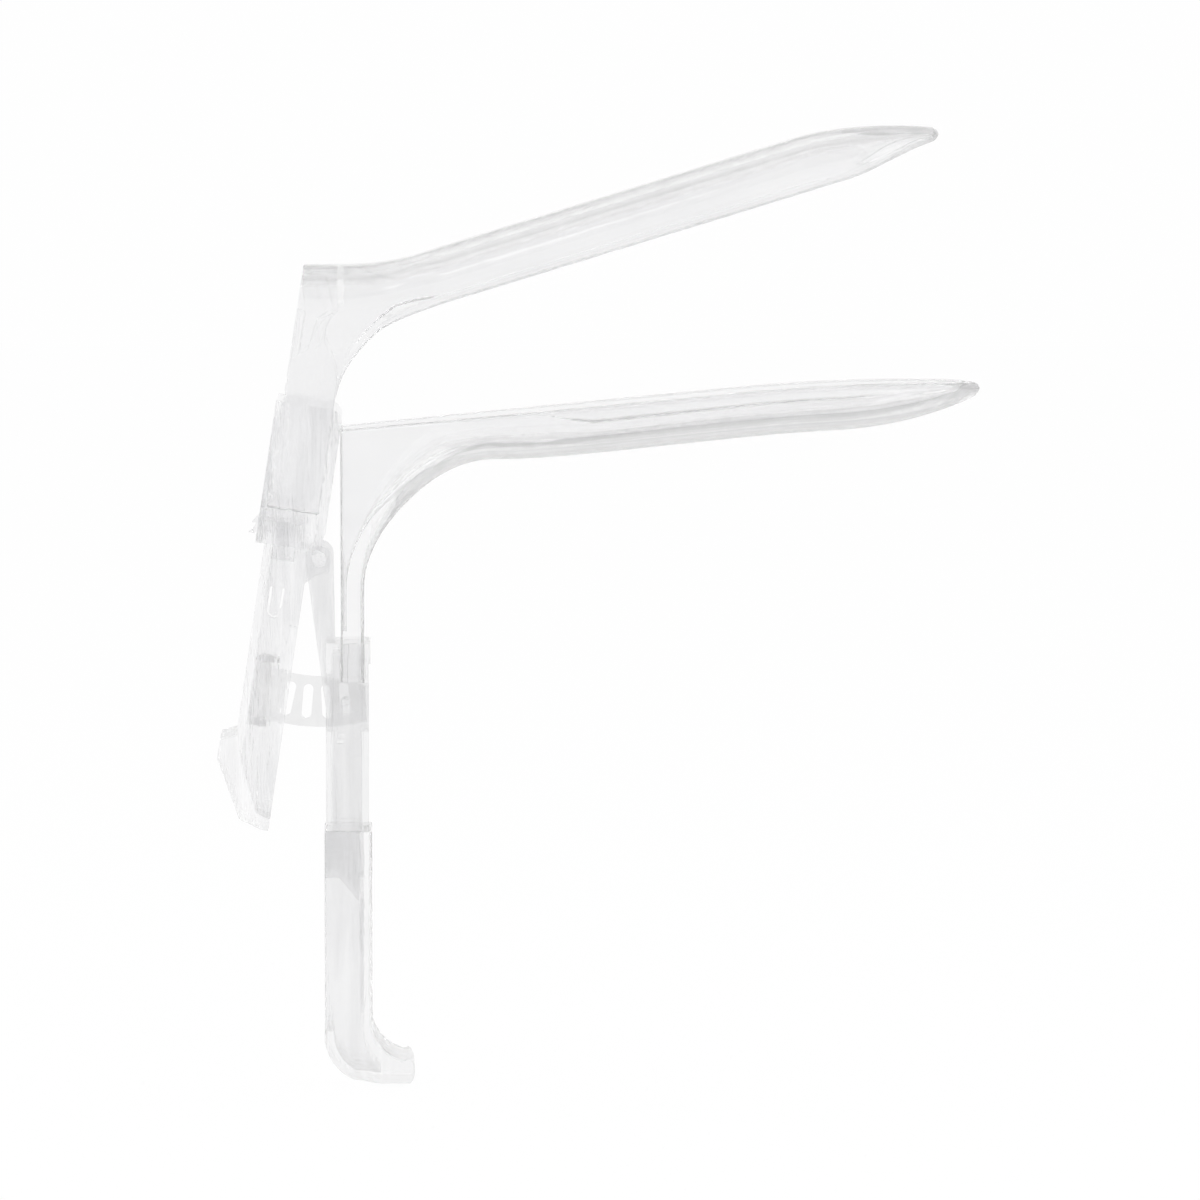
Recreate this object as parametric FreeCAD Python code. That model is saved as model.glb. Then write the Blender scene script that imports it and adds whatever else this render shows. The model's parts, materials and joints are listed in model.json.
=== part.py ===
import FreeCAD, Part
import math
import os

from FreeCAD import Placement, Rotation, Vector

os.makedirs("parts", exist_ok=True)

# A clear moulded vaginal speculum, millimetres. X runs along the blades, Y across
# them and Z up the handle. While the pieces are made, X is zero at the middle of the
# handle. They are then moved so that the origin lies on the sole under the toe.

# Fits between pieces
plug_gap = 0.05
pivot_gap = 0.05
slide_gap = 0.3
detent_gap = 0.12
overlap = 0.2
past = 1.0

# Grip, the lower shell of the handle
grip_depth = 8.2
grip_width = 17.2
grip_wall = 1.5
grip_height = 43.6
grip_round = 0.7
heel_height = 9.0
heel_reach = 5.0
heel_bulge = 1.7
heel_lift = 0.8
toe_reach = 11.4
toe_height = 4.2
toe_nose = 1.9
instep_radius = 7.0
instep_lift = 0.3
instep_turn = 80.0
sole_start = 5.6
sole_end = 10.6
foot_floor = 1.8
foot_rise = 4.5
foot_round = 0.9
lamp_rail = 0.6
lamp_half = 4.6
rail_low = 12.0

# Handle body, the hollow upper half of the handle
depth_step = 0.8
width_step = 1.2
handle_wall = 1.2
shaft_height = 32.4
collar_height = 3.4
collar_step = 0.3
deck_thickness = 1.6
plug_length = 8.0
plug_wall = 0.9
tongue_length = 4.0
tongue_taper = 0.4
handle_ribs = (-1.4, 1.3)
rib_half = 0.3
rib_depth = 0.5
peep_rear = -1.9
peep_length = 1.2
peep_drop = 17.2
peep_rise = 0.6
arm_thickness = 2.0
arm_front = 1.6
arm_drop = 11.0

# Main pivot between the handle's arms and the yoke
pivot_x = -4.84
pivot_rise = 14.5
pivot_radius = 1.3
boss_radius = 2.4
lean = 8.5

# Lower blade
rim_rear_x = -1.2
rim_rise = 36.8
rim_slope = 5.4
lower_length = 110.4
lower_tip_rise = 7.8
throat_radius = 22.5
throat_flat = 1.1
throat_rise = 9.0
stem_front = 2.8
stem_step = 2.6
stem_round = 1.5
stem_block = 8.7
stem_depth = 6.7
blade_depth = 7.9
blade_width = 27.0
blade_wall = 1.8
light_floor = 3.0
lower_rear_width = 24.0
blade_round = 8.0
tip_thickness = 1.0
floor_settle = 14.0

# Upper blade
crown_rise = 64.9
upper_slope = 17.0
upper_tip_x = 101.9
upper_tip_rise = 23.5
upper_depth = 9.2
crown_flat_end = -0.5
crown_bend_end = 16.0
upper_tip_thickness = 0.9
leg_rear = -10.0
leg_front = -1.3
leg_end = 8.0
leg_inner = 12.5
leg_wall = 1.6
leg_clear = 1.5
web_thickness = 1.1
web_depth = 6.8
rail_step = 1.9
rail_front = -1.45
rail_root = 0.4
rail_curve = ((0.0, 4.6), (1.1, 7.9), (2.9, 10.9), (3.2, 13.2), (1.5, 16.7))
rail_crest = ((3.6, 14.5), (2.8, 9.3), (0.0, 7.4))
throat_shares = ((0.1, 0.31), (0.3, 0.6), (0.52, 0.79))
band_width = 1.4
band_depth = 0.5
band_low = 6.0
band_high = 15.4
rack_pitch = 2.5
rack_notches = 9
notch_depth = 0.6
notch_half = 0.7

# Shares of a blade's length and width that set its outline
rim_bend = 0.62
nose_start = 0.76
rim_nose_start = 0.84
waist_start = 0.62
nose_floor = 2.2
nose_crown = 1.7
least_width = 0.05
corner_share = 0.36
spread = 4
spread_start = 0.6
crown_swell = 1.2
least_corner = 0.5

# Yoke frame with its two side guides
guide_rear = -11.2
guide_front = 0.35
guide_top = 26.2
guide_foot = 2.0
guide_wall = 1.5
guide_round = 2.2
guide_cut = 3.0
guide_lip = 1.3
guide_grooves = (-8.6, -4.1)
groove_half = 0.35
groove_depth = 0.4
groove_end = 2.5
bridge_low = 5.7
bridge_high = 7.8
bridge_front = -3.3
yoke_plug = 6.7
yoke_plug_front = -4.5

# Catches that hold the blade's height
catch_root = 23.15
catch_foot = 3.4
catch_width = 2.0
catch_tooth = 10.0
catch_tab = 1.4
catch_flare = 2.0
catch_tip = 1.1

# Thumb lever
lever_rear = -9.7
lever_front = -1.9
lever_step = 1.8
lever_wall = 1.6
lever_back = 1.4
lever_lip = 1.3
lever_lip_top = -12.0
ear_front = -4.3
pad_top = -31.8
pad_reach = 2.7
pad_slope = 1.2
pad_face = 4.4
pad_nose = 5.2
pad_wall = 3.0
pad_foot = -47.3
pad_floor = 1.8
snap_middle = -6.4
snap_half = 1.25
snap_slot = 0.4
snap_top = -5.6
snap_foot = -10.9

# Ratchet strap
strap_inner = 20.7
strap_outer = 29.4
strap_thickness = 1.8
strap_end = 3.0
strap_hinge = -6.6
strap_barrel = 1.4
strap_lug = 0.5
barrel_rise = 0.15
tail_drop = 1.7
strap_stub = 0.9
stub_length = 1.2
window_pitch = 7.5
window_first = -12.45
windows = 4
window_width = 1.7
window_length = 6.0
window_play = 0.2
strap_swing = 3.0

# Positions that follow from the sizes above
handle_depth = grip_depth - depth_step
handle_width = grip_width - width_step
handle_top = grip_height + shaft_height
handle_rear = -grip_depth / 2 + slide_gap
handle_front = handle_rear + handle_depth
half_handle = handle_width / 2
pivot_z = handle_top + pivot_rise
arm_foot = handle_top - arm_drop
arm_inner = half_handle - arm_thickness
stem_width = handle_width - stem_step
stem_end = handle_top - stem_depth
throat_centre_z = handle_top + throat_rise
rim_rear_z = handle_top + rim_rise
lower_tip_x = rim_rear_x + lower_length
lower_tip_z = rim_rear_z + lower_tip_rise
upper_top = handle_top + crown_rise
upper_tip_z = upper_top + upper_tip_rise
loft_depth = rim_rise
leg_depth = 1.4 * rim_rise
leg_outer = leg_inner + leg_wall
rail_outer = leg_outer + rail_step
guide_inner = rail_outer + slide_gap
guide_outer = guide_inner + guide_wall
flange_front = leg_rear - slide_gap
root_radius = (flange_front - guide_rear) / 2
catch_side = rail_outer - detent_gap - catch_width / 2
lever_half = half_handle + lever_step
lever_inner = lever_half - lever_wall
toe_middle = (sole_start + sole_end) / 2
pivot = Vector(pivot_x, 0, pivot_z)
throat_centre = Vector(stem_front + throat_radius, 0, throat_centre_z)


def flat(x, z):
    return Vector(x, 0, z)


def line(a, b):
    return Part.LineSegment(a, b).toShape()


def arc(a, b, c):
    return Part.Arc(a, b, c).toShape()


def smooth(points):
    curve = Part.BSplineCurve()
    curve.interpolate(points)
    return curve.toShape()


def plate(outline, low, high):
    """Raise a side outline, a list of points or edges, from Y = low to Y = high."""
    if isinstance(outline[0], Vector):
        outline = [line(a, b) for a, b in zip(outline, outline[1:] + outline[:1])]
    face = Part.Face(Part.Wire(outline))
    face.translate(Vector(0, low, 0))
    return face.extrude(Vector(0, high - low, 0))


def block(x0, x1, y0, y1, z0, z1):
    return Part.makeBox(x1 - x0, y1 - y0, z1 - z0, Vector(x0, y0, z0))


def mirrored(shape):
    return shape.mirror(Vector(0, 0, 0), Vector(0, 1, 0))


def pair(shape):
    return shape.fuse(mirrored(shape))


def rod(radius, y0, y1, x=0.0, z=0.0):
    return Part.makeCylinder(radius, y1 - y0, Vector(x, y0, z), Vector(0, 1, 0))


def joined(shapes):
    whole = shapes[0].fuse(shapes[1:])
    return whole.removeSplitter()


def leaned(shape):
    """Carry a piece made about the pivot, with Z along the lever, to its real place."""
    moved = shape.copy()
    moved.Placement = Placement(pivot, Rotation(Vector(0, 1, 0), lean))
    return moved


def trough(base, up, width, depth, radius):
    """One cross-section of a blade: a flat floor, two round corners and upright walls."""
    half = width / 2
    inset = radius * (1 - math.sqrt(0.5))

    def at(y, rise):
        return base + Vector(0, y, 0) + up * rise

    return Part.Wire([
        line(at(-half, depth), at(-half, radius)),
        arc(at(-half, radius), at(-half + inset, inset), at(-half + radius, 0)),
        line(at(-half + radius, 0), at(half - radius, 0)),
        arc(at(half - radius, 0), at(half - inset, inset), at(half, radius)),
        line(at(half, radius), at(half, depth)),
        line(at(half, depth), at(-half, depth)),
    ])


def channel(stations, wall, floor, closed_from, closed_to):
    """Loft a trough through stations of (base, up, width, depth, radius) and hollow it.

    The hollow leaves out the stations before closed_from and after closed_to."""
    outer = Part.makeLoft([trough(*station) for station in stations], True, False)
    hollows = []
    for base, up, width, depth, radius in stations[closed_from:closed_to]:
        inner_radius = max(radius - wall, least_corner)
        hollows.append(trough(base + up * floor, up, width - 2 * wall, depth, inner_radius))
    return outer.cut(Part.makeLoft(hollows, True, False))


def past_share(share, start):
    """How far a share of the length lies past start, from 0 at start to 1 at the end."""
    return max(0.0, (share - start) / (1 - start))


def narrowed(wide, share):
    """A blade's width, drawn in towards its tip."""
    nose = past_share(share, waist_start)
    wide *= math.sqrt(max(least_width, 1 - nose ** 3))
    return wide, min(blade_round, wide * corner_share)


def rim_z(x):
    """Height of the lower blade's rim: a straight slope that levels off to the tip."""
    bend = lower_tip_x * rim_bend
    slope = math.tan(math.radians(rim_slope))
    straight = rim_rear_z + (min(x, bend) - rim_rear_x) * slope
    if x <= bend:
        return straight
    share = (x - bend) / (lower_tip_x - bend)
    reach = (lower_tip_x - bend) * slope
    return straight + reach * (share - share ** 2 / 2) + share ** 2 * (
        lower_tip_z - straight - reach / 2)


def floor_z(x):
    """Height of the underside of the lower blade, which rises to the rim at the tip."""
    start = throat_centre.x
    level = throat_centre_z + throat_radius
    blend = 1 - math.exp((start - x) / floor_settle)
    deep = rim_z(x) - blade_depth
    height = level + (deep - level) * blend
    nose = past_share(x / lower_tip_x, nose_start)
    return height + (rim_z(x) - height - tip_thickness) * nose ** nose_floor


def lower_station(x):
    share = (x - throat_centre.x) / (lower_tip_x - throat_centre.x)
    wide = lower_rear_width + (blade_width - lower_rear_width) * min(1.0, share * spread)
    wide, corner = narrowed(wide, share)
    return flat(x, floor_z(x)), Vector(0, 0, 1), wide, loft_depth, corner


def throat_station(angle):
    """A section fanned about the throat's centre, from the stem at 0 to the blade at 90."""
    turn = math.radians(angle)
    away = Vector(-math.cos(turn), 0, math.sin(turn))
    radius = throat_radius - throat_flat * math.sin(2 * turn) ** 2
    grow = math.sin(turn) ** 2
    wide = stem_width + (lower_rear_width - stem_width) * grow
    corner = stem_round + (blade_round - stem_round) * grow
    return throat_centre + away * radius, away, wide, loft_depth, corner


def lower_blade():
    stem = [(flat(stem_front, z), Vector(-1, 0, 0), stem_width, loft_depth, stem_round)
            for z in (stem_end, stem_end + stem_block)]
    throat = [throat_station(angle) for angle in range(0, 90, 15)]
    nose = lower_tip_x - throat_centre.x
    blade = [lower_station(throat_centre.x + nose * share)
             for share in (0.0, 0.1, 0.25, 0.45, 0.65, 0.8, 0.9, 0.96, 1.0)]
    shell = channel(stem + throat + blade, blade_wall, light_floor, 1, -1)
    far = lower_tip_x + past
    low = stem_end - past
    steps = [rim_rear_x + (far - rim_rear_x) * k / 8 for k in range(9)]
    rim = smooth([flat(x, rim_z(min(x, lower_tip_x))) for x in steps])
    sides = [line(flat(far, rim_z(lower_tip_x)), flat(far, low)),
             line(flat(far, low), flat(rim_rear_x, low)),
             line(flat(rim_rear_x, low), flat(rim_rear_x, rim_rear_z))]
    trim = plate([rim] + sides, -blade_width, blade_width)
    return shell.common(trim)


def crown_z(x):
    """Height of the upper blade's crown: flat at the rear, sloped, then bent to the tip."""
    slope = math.tan(math.radians(upper_slope))
    bend = crown_bend_end - crown_flat_end
    if x <= crown_flat_end:
        return upper_top
    if x <= crown_bend_end:
        return upper_top + crown_swell * slope * (x - crown_flat_end) ** 2 / (2 * bend)
    start = upper_top + crown_swell * slope * bend / 2
    height = start + slope * (x - crown_bend_end)
    nose = past_share(x / upper_tip_x, nose_start)
    straight_tip = start + slope * (upper_tip_x - crown_bend_end)
    return height - (straight_tip - upper_tip_z) * nose ** nose_crown


def upper_rim_z(x):
    """Height of the upper blade's lower edge along the blade."""
    drop = upper_depth / math.cos(math.radians(upper_slope))
    nose = past_share(x / upper_tip_x, rim_nose_start)
    slope = math.tan(math.radians(upper_slope))
    straight = crown_z(crown_bend_end) + slope * (x - crown_bend_end) - drop
    return straight + (upper_tip_z - upper_tip_thickness - straight) * nose ** 2


def upper_station(x):
    share = (x - crown_bend_end) / (upper_tip_x - crown_bend_end)
    rear = 2 * leg_outer
    grow = min(1.0, max(0.0, share * spread + spread_start))
    wide, corner = narrowed(rear + (blade_width - rear) * grow, share)
    return flat(x, crown_z(x)), Vector(0, 0, -1), wide, leg_depth, corner


def local_to_world(v, u):
    turn = math.radians(lean)
    return flat(pivot_x + v * math.cos(turn) + u * math.sin(turn),
                pivot_z - v * math.sin(turn) + u * math.cos(turn))


def upper_blade():
    reach = upper_tip_x - crown_bend_end
    rear = [upper_station(x) for x in (
        crown_flat_end - crown_bend_end, crown_flat_end - crown_bend_end / 2, crown_flat_end,
        (crown_flat_end + crown_bend_end) / 2, crown_bend_end)]
    front = [upper_station(crown_bend_end + reach * share)
             for share in (0.15, 0.35, 0.55, 0.72, 0.84, 0.92, 0.97, 1.0)]
    shell = channel(rear + front, leg_wall, leg_wall, 0, -1)
    web = block(crown_flat_end - web_thickness, crown_flat_end, -leg_outer, leg_outer,
                upper_top - web_depth, upper_top)
    shell = shell.fuse(web.common(Part.makeLoft([trough(*station) for station in rear], True, False)))
    # The side outline of the rim, the throat under the crown and the two legs.
    far = upper_tip_x + past
    steps = [crown_bend_end + (far - crown_bend_end) * k / 8 for k in range(9)]
    rim = [flat(x, upper_rim_z(min(x, upper_tip_x))) for x in steps]
    front_top = local_to_world(leg_front, guide_top + leg_clear)
    front_foot = local_to_world(leg_front, leg_end)
    rear_foot = local_to_world(leg_rear, leg_end)
    rear_top = local_to_world(leg_rear, 2 * guide_top)
    span = rim[0] - front_top
    throat = smooth([front_top] + [front_top + flat(span.x * across, span.z * up)
                                   for across, up in throat_shares] + [rim[0]])
    high = flat(far, upper_tip_z + past)
    sides = [line(front_foot, front_top), throat, smooth(rim), line(rim[-1], high),
             line(high, flat(rear_top.x, high.z)), line(flat(rear_top.x, high.z), rear_top),
             line(rear_top, rear_foot), line(rear_foot, front_foot)]
    shell = shell.common(plate(sides, -blade_width, blade_width))
    # Each leg carries a rail on its outside, with the height rack on the rail's back.
    front = [flat(rail_front - back, guide_top + up) for back, up in rail_curve]
    crest = [flat(leg_rear + ahead, guide_top + up) for ahead, up in rail_crest]
    foot = [flat(leg_rear, leg_end), flat(rail_front, leg_end)]
    corners = [front[-1]] + crest + [foot[0]]
    rail = plate([line(*foot), line(foot[1], front[0]), smooth(front)]
                 + [line(a, b) for a, b in zip(corners, corners[1:])], leg_outer - rail_root, rail_outer)
    # A raised band stiffens the leg's rear edge above the rack.
    band = plate([flat(leg_rear, guide_top + band_low), flat(leg_rear + band_width, guide_top + band_low),
                  flat(leg_rear + band_width, guide_top + band_high - band_depth),
                  flat(leg_rear, guide_top + band_high)],
                 leg_outer - rail_root, leg_outer + band_depth)
    rail = rail.fuse(band)
    notch = [flat(leg_rear, -notch_half), flat(leg_rear + notch_depth, 0), flat(leg_rear, notch_half)]
    for step in range(rack_notches):
        tooth = plate(notch, leg_inner - past, rail_outer + past)
        tooth.translate(Vector(0, 0, catch_tooth + step * rack_pitch))
        rail = rail.cut(tooth)
        shell = shell.cut(leaned(pair(tooth)))
    return joined([shell, leaned(rail), leaned(mirrored(rail))])


def guide():
    """One side guide of the yoke: cheek, rear flange and front lip, on the +Y side."""
    corner = guide_front - guide_round
    inset = guide_round * (1 - math.sqrt(0.5))
    cheek = plate([
        line(flat(guide_rear, guide_foot), flat(guide_rear, guide_top)),
        line(flat(guide_rear, guide_top), flat(corner, guide_top)),
        arc(flat(corner, guide_top), flat(guide_front - inset, guide_top - inset),
            flat(guide_front, guide_top - guide_round)),
        line(flat(guide_front, guide_top - guide_round), flat(guide_front, guide_foot + guide_cut)),
        line(flat(guide_front, guide_foot + guide_cut), flat(guide_front - guide_cut, guide_foot)),
        line(flat(guide_front - guide_cut, guide_foot), flat(guide_rear, guide_foot)),
    ], guide_inner, guide_outer)
    for middle in guide_grooves:
        cheek = cheek.cut(block(middle - groove_half, middle + groove_half, guide_outer - groove_depth,
                                guide_outer + past, guide_foot + groove_end, guide_top - groove_end))
    flange = block(guide_rear, flange_front, leg_inner, guide_outer, guide_foot, guide_top)
    low = catch_side - catch_width / 2 - slide_gap
    high = catch_side + catch_width / 2 + slide_gap
    flange = flange.cut(block(guide_rear - past, flange_front + past, low, high, guide_foot - past,
                              catch_root))
    flange = flange.cut(rod(root_radius + pivot_gap, low, high, guide_rear + root_radius, catch_root))
    lip_rear = rail_front + slide_gap
    lip = block(lip_rear, lip_rear + guide_lip, leg_outer + slide_gap, guide_outer, guide_foot,
                guide_top - guide_round)
    return joined([cheek, flange, lip])


def yoke_frame():
    side = guide()
    bridge = block(guide_rear, bridge_front, -leg_inner + slide_gap, leg_inner - slide_gap,
                   bridge_low, bridge_high)
    rear = block(guide_rear, flange_front, -leg_inner - overlap, leg_inner + overlap, guide_foot,
                 bridge_high)
    plug = block(lever_rear + lever_back + plug_gap, yoke_plug_front, -lever_inner + plug_gap,
                 lever_inner - plug_gap, bridge_low - yoke_plug, bridge_low)
    return leaned(joined([side, mirrored(side), bridge, rear, plug]))


def height_catches():
    """Two spring tongues in the guides' rear flanges, each with a tooth and a finger tab."""
    rear = guide_rear
    front = flange_front
    tongue = [flat(rear, catch_root), flat(rear, catch_foot + catch_flare),
              flat(rear - catch_tab, catch_foot), flat(rear - catch_tab + catch_tip, catch_foot),
              flat(front, catch_foot + catch_flare), flat(front, catch_tooth - notch_half),
              flat(leg_rear - detent_gap, catch_tooth), flat(front, catch_tooth + notch_half),
              flat(front, catch_root)]
    low = catch_side - catch_width / 2
    high = catch_side + catch_width / 2
    tongue = plate(tongue, low, high)
    tongue = tongue.fuse(rod(root_radius, low, high, (rear + front) / 2, catch_root))
    return leaned(Part.makeCompound([tongue, mirrored(tongue)]))


def snap_slit():
    """The U-shaped slit that frees a snap tab in the lever's side wall."""
    def tongue(half):
        low = snap_foot + snap_half
        straight = block(snap_middle - half, snap_middle + half, 0, lever_half + past, low, snap_top)
        return straight.fuse(rod(half, 0, lever_half + past, snap_middle, low))

    return tongue(snap_half).cut(tongue(snap_half - snap_slot))


def thumb_lever():
    front = lever_front
    back = lever_rear
    inner = back + lever_back
    pad_outer = [flat(back, pad_top), flat(back - pad_reach, pad_top - pad_slope),
                 flat(back - pad_reach, pad_top - pad_face), flat(front - pad_nose, pad_foot + pad_slope),
                 flat(front - pad_slope, pad_foot), flat(front, pad_foot)]
    slope = (pad_outer[3] - pad_outer[2]).normalize()
    inward = Vector(-slope.z, 0, slope.x) * pad_wall
    # Side walls, with the ears that carry the pivot stubs
    wall_top = bridge_low - plug_gap
    side = [flat(back, wall_top), flat(ear_front, wall_top), flat(ear_front, boss_radius),
            flat(0, boss_radius), flat(0, -boss_radius), flat(front, front - boss_radius)]
    wall = plate(side + pad_outer[::-1], lever_inner, lever_half)
    wall = wall.fuse(rod(boss_radius, lever_inner, lever_half)).cut(snap_slit())
    wall = wall.fuse(rod(pivot_radius, arm_inner + slide_gap, lever_inner))
    lip = block(front - lever_wall, front, lever_inner - lever_lip, lever_inner, pad_foot + pad_nose,
                lever_lip_top)
    spine = block(back, inner, -lever_inner, lever_inner, pad_top - pad_wall, wall_top)
    pad = plate(pad_outer + [flat(front, pad_foot + pad_floor), pad_outer[3] + inward,
                             flat(inner, pad_top - pad_face)], -lever_inner, lever_inner)
    # Two lugs hold the strap's hinge stubs.
    barrel_low, barrel_top = barrel_ends()
    half = strap_barrel + strap_lug
    lugs = []
    for low in (barrel_top + slide_gap, barrel_low - slide_gap - stub_length):
        lug = block(inner - overlap, strap_hinge, -half, half, low, low + stub_length)
        lug = lug.fuse(post(half, low, low + stub_length))
        lugs.append(lug.cut(post(strap_stub + pivot_gap, low - past, low + stub_length + past)))
    whole = [wall, mirrored(wall), lip, mirrored(lip), spine, pad] + lugs
    return leaned(joined(whole))


def ring_point(radius, angle):
    """A point about the pivot, with the angle from straight down towards the handle."""
    turn = math.radians(angle)
    return flat(pivot_x + radius * math.sin(turn), pivot_z - radius * math.cos(turn))


def post(radius, low, high):
    """A round bar on the strap's hinge line."""
    return Part.makeCylinder(radius, high - low, Vector(strap_hinge, 0, low))


def barrel_ends():
    """The lowest and highest point of the strap's hinge barrel."""
    return [-math.sqrt(radius ** 2 - strap_hinge ** 2) + rise
            for radius, rise in ((strap_outer, -barrel_rise), (strap_inner, barrel_rise))]


def ratchet_strap():
    half = strap_thickness / 2
    # The band is an arc about the main pivot, so it stays in its slot as the lever turns.
    root = math.degrees(math.asin(strap_hinge / strap_outer)) - lean
    ends = [math.degrees(math.asin((strap_end - pivot_x) / r)) for r in (strap_inner, strap_outer)]
    inner = arc(ring_point(strap_inner, root), ring_point(strap_inner, (root + ends[0]) / 2),
                ring_point(strap_inner, ends[0]))
    outer = arc(ring_point(strap_outer, ends[1]), ring_point(strap_outer, (root + ends[1]) / 2),
                ring_point(strap_outer, root))
    band = plate([inner, line(ring_point(strap_inner, ends[0]), ring_point(strap_outer, ends[1])),
                  outer, line(ring_point(strap_outer, root), ring_point(strap_inner, root))],
                 -half, half)
    crest = flat(pivot_x, pivot_z - strap_inner)
    tail = flat(strap_end + past, crest.z - tail_drop)
    above = flat(0, strap_end - pivot_x)
    band = band.cut(plate([crest, tail, tail + above, crest + above], -strap_thickness, strap_thickness))
    middle = (strap_inner + strap_outer) / 2
    for number in range(windows):
        angle = window_first + number * window_pitch
        low = middle - window_length / 2 + window_width / 2
        high = middle + window_length / 2 - window_width / 2
        slot = block(-window_width / 2, window_width / 2, -strap_thickness, strap_thickness, -high, -low)
        slot = slot.fuse([rod(window_width / 2, -strap_thickness, strap_thickness, 0, -end)
                          for end in (low, high)])
        slot.Placement = Placement(pivot, Rotation(Vector(0, 1, 0), -angle))
        band = band.cut(slot)
    low, top = barrel_ends()
    reach = stub_length + slide_gap
    barrel = post(strap_barrel, low, top).fuse(post(strap_stub, low - reach, top + reach))
    return joined([band, leaned(barrel)])


def handle_body():
    inner_half = half_handle - handle_wall
    front = handle_front - handle_wall
    rear = handle_rear + handle_wall
    shaft = block(handle_rear, handle_front, -half_handle, half_handle, grip_height, handle_top)
    collar_half = half_handle + collar_step
    collar = block(handle_rear, handle_front + collar_step, -collar_half, collar_half,
                   handle_top - collar_height, handle_top)
    # The plug steps in behind the grip's front wall and between its side walls.
    plug_front = grip_depth / 2 - grip_wall - plug_gap
    plug_side = grip_width / 2 - grip_wall - plug_gap
    plug_low = grip_height - plug_length
    plug = block(handle_rear, plug_front, -plug_side, plug_side, plug_low, grip_height)
    hollow = block(rear, front, -inner_half, inner_half, grip_height, handle_top - deck_thickness)
    bore_side = plug_side - plug_wall
    bore = block(handle_rear - past, plug_front - plug_wall, -bore_side, bore_side, plug_low - past,
                 grip_height)
    body = shaft.fuse([collar, plug]).cut(hollow).cut(bore)
    for middle in handle_ribs:
        rib = block(middle - rib_half, middle + rib_half, inner_half - rib_depth, inner_half + overlap,
                    grip_height - overlap, stem_end - plug_gap)
        body = body.fuse(pair(rib))
    peep = handle_top - peep_drop
    body = body.cut(block(peep_rear, peep_rear + peep_length, -collar_half, collar_half,
                          peep, peep + peep_rise))
    # A tapered tongue runs down each side of the plug.
    tongue = [flat(rear + plug_wall, plug_low + overlap), flat(plug_front - tongue_taper, plug_low + overlap),
              flat(plug_front - 2 * tongue_taper, plug_low - tongue_length)]
    tongue = pair(plate(tongue, bore_side, plug_side))
    # The stem of the lower blade drops through the deck.
    stem_side = stem_width / 2 + plug_gap
    stem = block(rim_rear_x - plug_gap, stem_front + plug_gap, -stem_side, stem_side,
                 stem_end - plug_gap, handle_top + past)
    # The arms lean back to the pivot.
    arm = plate([flat(handle_rear, arm_foot), flat(pivot_x - boss_radius, pivot_z),
                 flat(pivot_x + boss_radius, pivot_z), flat(handle_rear + arm_front, handle_top - arm_front),
                 flat(handle_rear + arm_front, arm_foot)], arm_inner, half_handle)
    arm = arm.fuse(rod(boss_radius, arm_inner, half_handle, pivot_x, pivot_z))
    arm = arm.cut(rod(pivot_radius + pivot_gap, arm_inner - past, half_handle + past, pivot_x, pivot_z))
    # The strap's two slots leave room for its sideways swing.
    run = handle_front - local_to_world(strap_hinge, -strap_outer).x
    low_side = -strap_thickness / 2 - slide_gap
    high_side = strap_thickness / 2 + slide_gap + run * math.tan(math.radians(strap_swing))
    low = pivot_z - strap_outer - 2 * slide_gap
    high = pivot_z - math.sqrt(strap_inner ** 2 - (handle_rear - pivot_x) ** 2) + 2 * slide_gap
    slots = block(handle_rear - past, rear + overlap, low_side, high_side, low, high)
    slots = slots.fuse(block(front - overlap, handle_front + past, low_side, high_side, low,
                             stem_end - 2 * slide_gap))
    # A fixed tooth on the side wall faces a window of the strap.
    middle = (strap_inner + strap_outer) / 2
    spot = ring_point(middle, window_first + (windows - 1) * window_pitch)
    tooth = rod(window_width / 2 - window_play, -inner_half - overlap,
                -strap_thickness / 2 - detent_gap, spot.x, spot.z)
    body = joined([body, arm, mirrored(arm), tongue])
    return body.cut(stem).cut(slots).fuse(tooth).removeSplitter()


def grip_outline():
    """The grip's side outline, from the open top down the heel and round the toe."""
    rear = -grip_depth / 2
    front = grip_depth / 2
    ankle = toe_height + instep_radius - instep_lift
    centre = flat(front + instep_radius, ankle)

    def instep(angle):
        turn = math.radians(angle)
        return centre + flat(-math.cos(turn), -math.sin(turn)) * instep_radius

    heel = [flat(rear, heel_height), flat(rear + heel_bulge, heel_height * corner_share),
            flat(rear + heel_reach, heel_lift)]
    toe = [flat(sole_end, 0), flat(toe_reach, toe_nose), flat(sole_end - overlap, toe_height)]
    corners = [heel[2], flat(sole_start, 0), toe[0]]
    return [line(flat(rear, grip_height), heel[0]), arc(*heel),
            line(corners[0], corners[1]), line(corners[1], corners[2]), arc(*toe),
            line(toe[2], instep(instep_turn)), arc(instep(instep_turn), instep(instep_turn / 2), instep(0)),
            line(instep(0), flat(front, grip_height)),
            line(flat(front, grip_height), flat(rear, grip_height))]


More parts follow.
